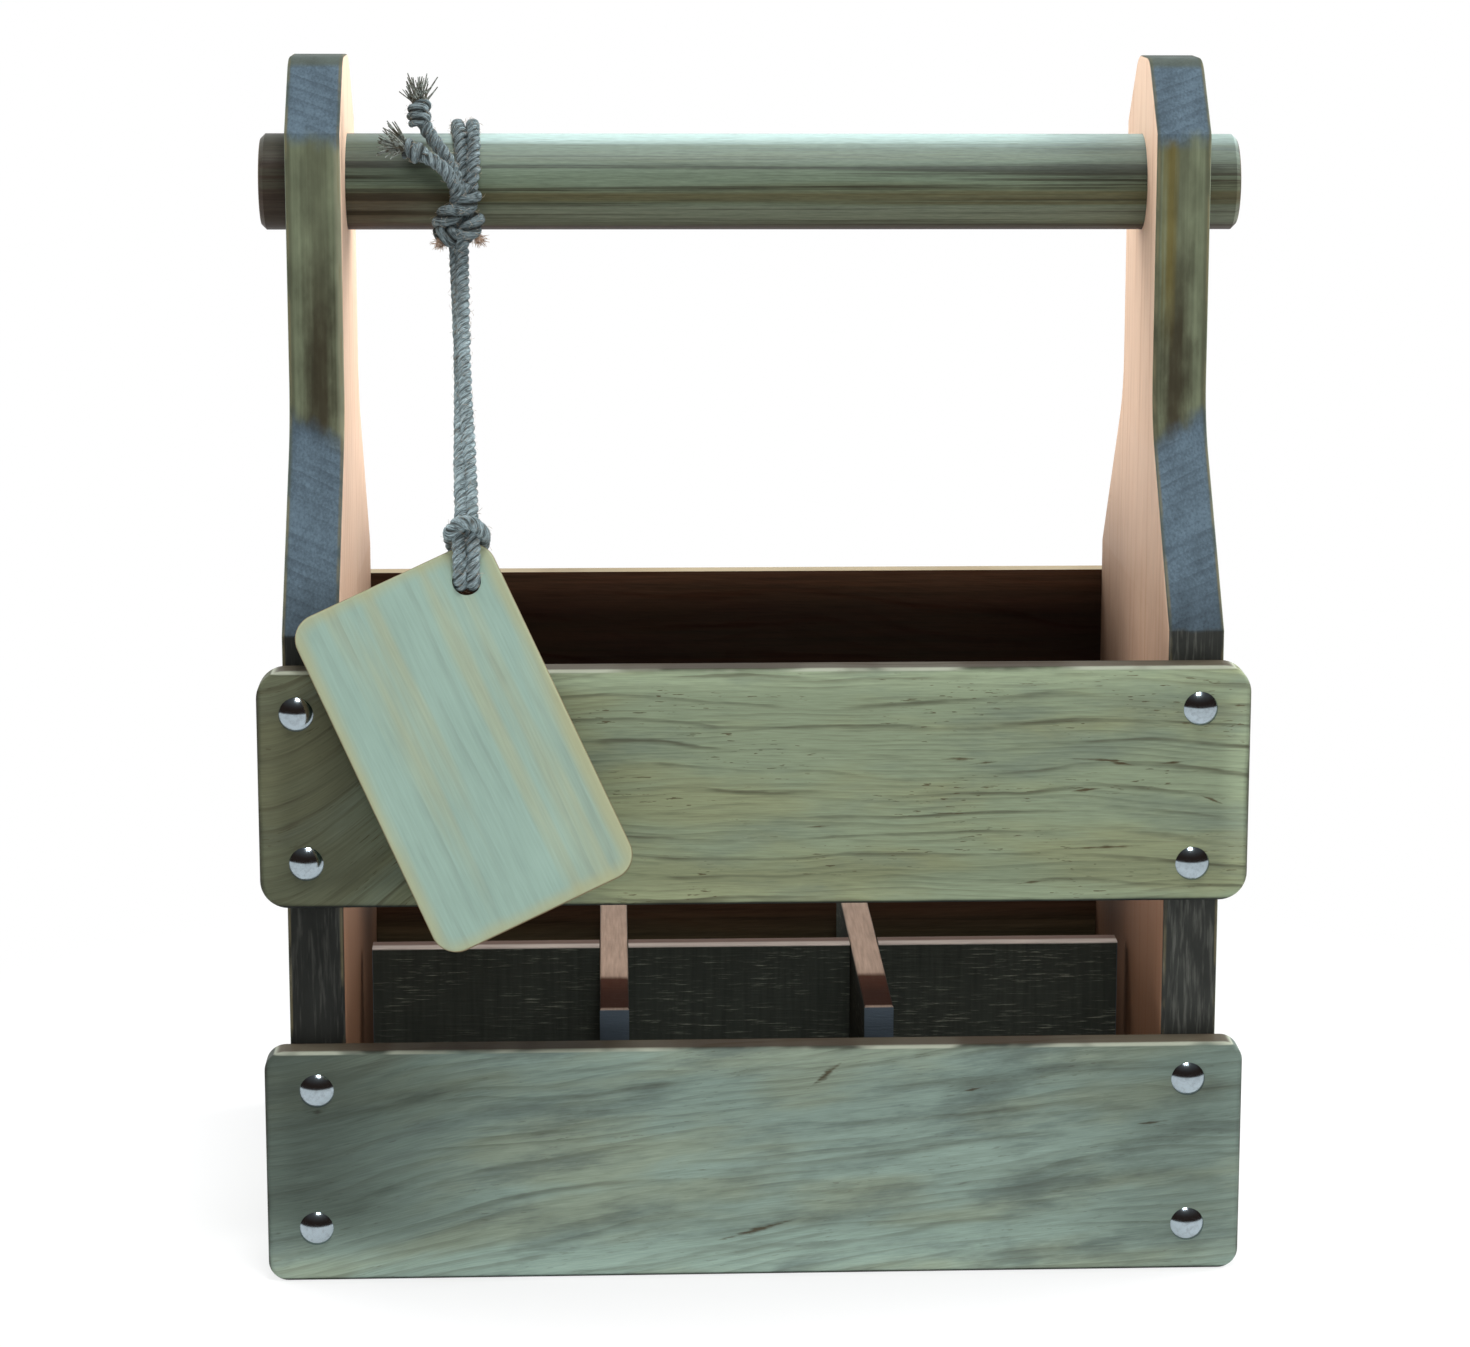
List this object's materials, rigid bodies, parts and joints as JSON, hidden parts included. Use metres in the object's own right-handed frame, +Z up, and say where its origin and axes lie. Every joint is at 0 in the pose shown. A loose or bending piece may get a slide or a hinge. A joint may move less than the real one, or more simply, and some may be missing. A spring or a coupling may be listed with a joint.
{
  "type": "bottle caddy",
  "caption": "Open wooden bottle caddy with shaped side boards, nailed rails, a dowel handle, a loose lattice divider and a tag hung on a twisted cord.",
  "frame": {"origin": "under the middle of the floor, on the standing surface", "axes": "+X to the right along the handle, +Y to the back, +Z up"},
  "size_m": [0.324, 0.2273, 0.3885],
  "materials": {
    "side_wood": "weathered wash over natural wood",
    "dowel_wood": "stained and worn",
    "front_rail_wood": "pale sage wash, matt",
    "back_rail_wood": "pale wash outside, dark stain inside",
    "floor_wood": "dark stain",
    "divider_wood": "rough-sawn, charcoal wash",
    "dome_chrome": "bright polished",
    "pin_steel": "plain wire",
    "tag_wood": "pale wash, matt",
    "cord_fibre": "twisted jute"
  },
  "bodies": {
    "crate": {"left_side_board": "side_wood", "right_side_board": "side_wood", "handle_dowel": "dowel_wood", "lower_front_rail": "front_rail_wood", "upper_front_rail": "front_rail_wood", "lower_back_rail": "back_rail_wood", "upper_back_rail": "back_rail_wood", "floor_slat_front": "floor_wood", "floor_slat_back": "floor_wood", "lower_front_nails": "dome_chrome", "lower_back_nails": "dome_chrome", "upper_front_nails": "dome_chrome", "upper_back_nails": "dome_chrome", "left_floor_nails": "pin_steel", "right_floor_nails": "pin_steel"},
    "divider_insert": {"cross_divider": "divider_wood", "left_divider": "divider_wood", "right_divider": "divider_wood"},
    "tag_cord": {"cord_turns": "cord_fibre", "cord_knot": "cord_fibre", "cord_drop": "cord_fibre", "tag_hitch": "cord_fibre", "cord_tails": "cord_fibre", "tail_knots": "cord_fibre", "tail_frays": "cord_fibre"},
    "hanging_tag": {"tag": "tag_wood"}
  },
  "joints": [
    {"name": "divider_lift", "type": "slide", "parent": "crate", "child": "divider_insert", "axis": [0, 0, 1], "range_m": [0, 0.195]},
    {"name": "cord_swing", "type": "hinge", "parent": "crate", "child": "tag_cord", "pos_m": [0, 0, 0.347], "axis": [-1, 0, 0], "range_deg": [0, 50]},
    {"name": "tag_turn", "type": "hinge", "parent": "tag_cord", "child": "hanging_tag", "pos_m": [-0.0912, -0.09275, 0.2289], "axis": [0, -0.9613, 0.2756], "range_deg": [-15, 15]}
  ]
}
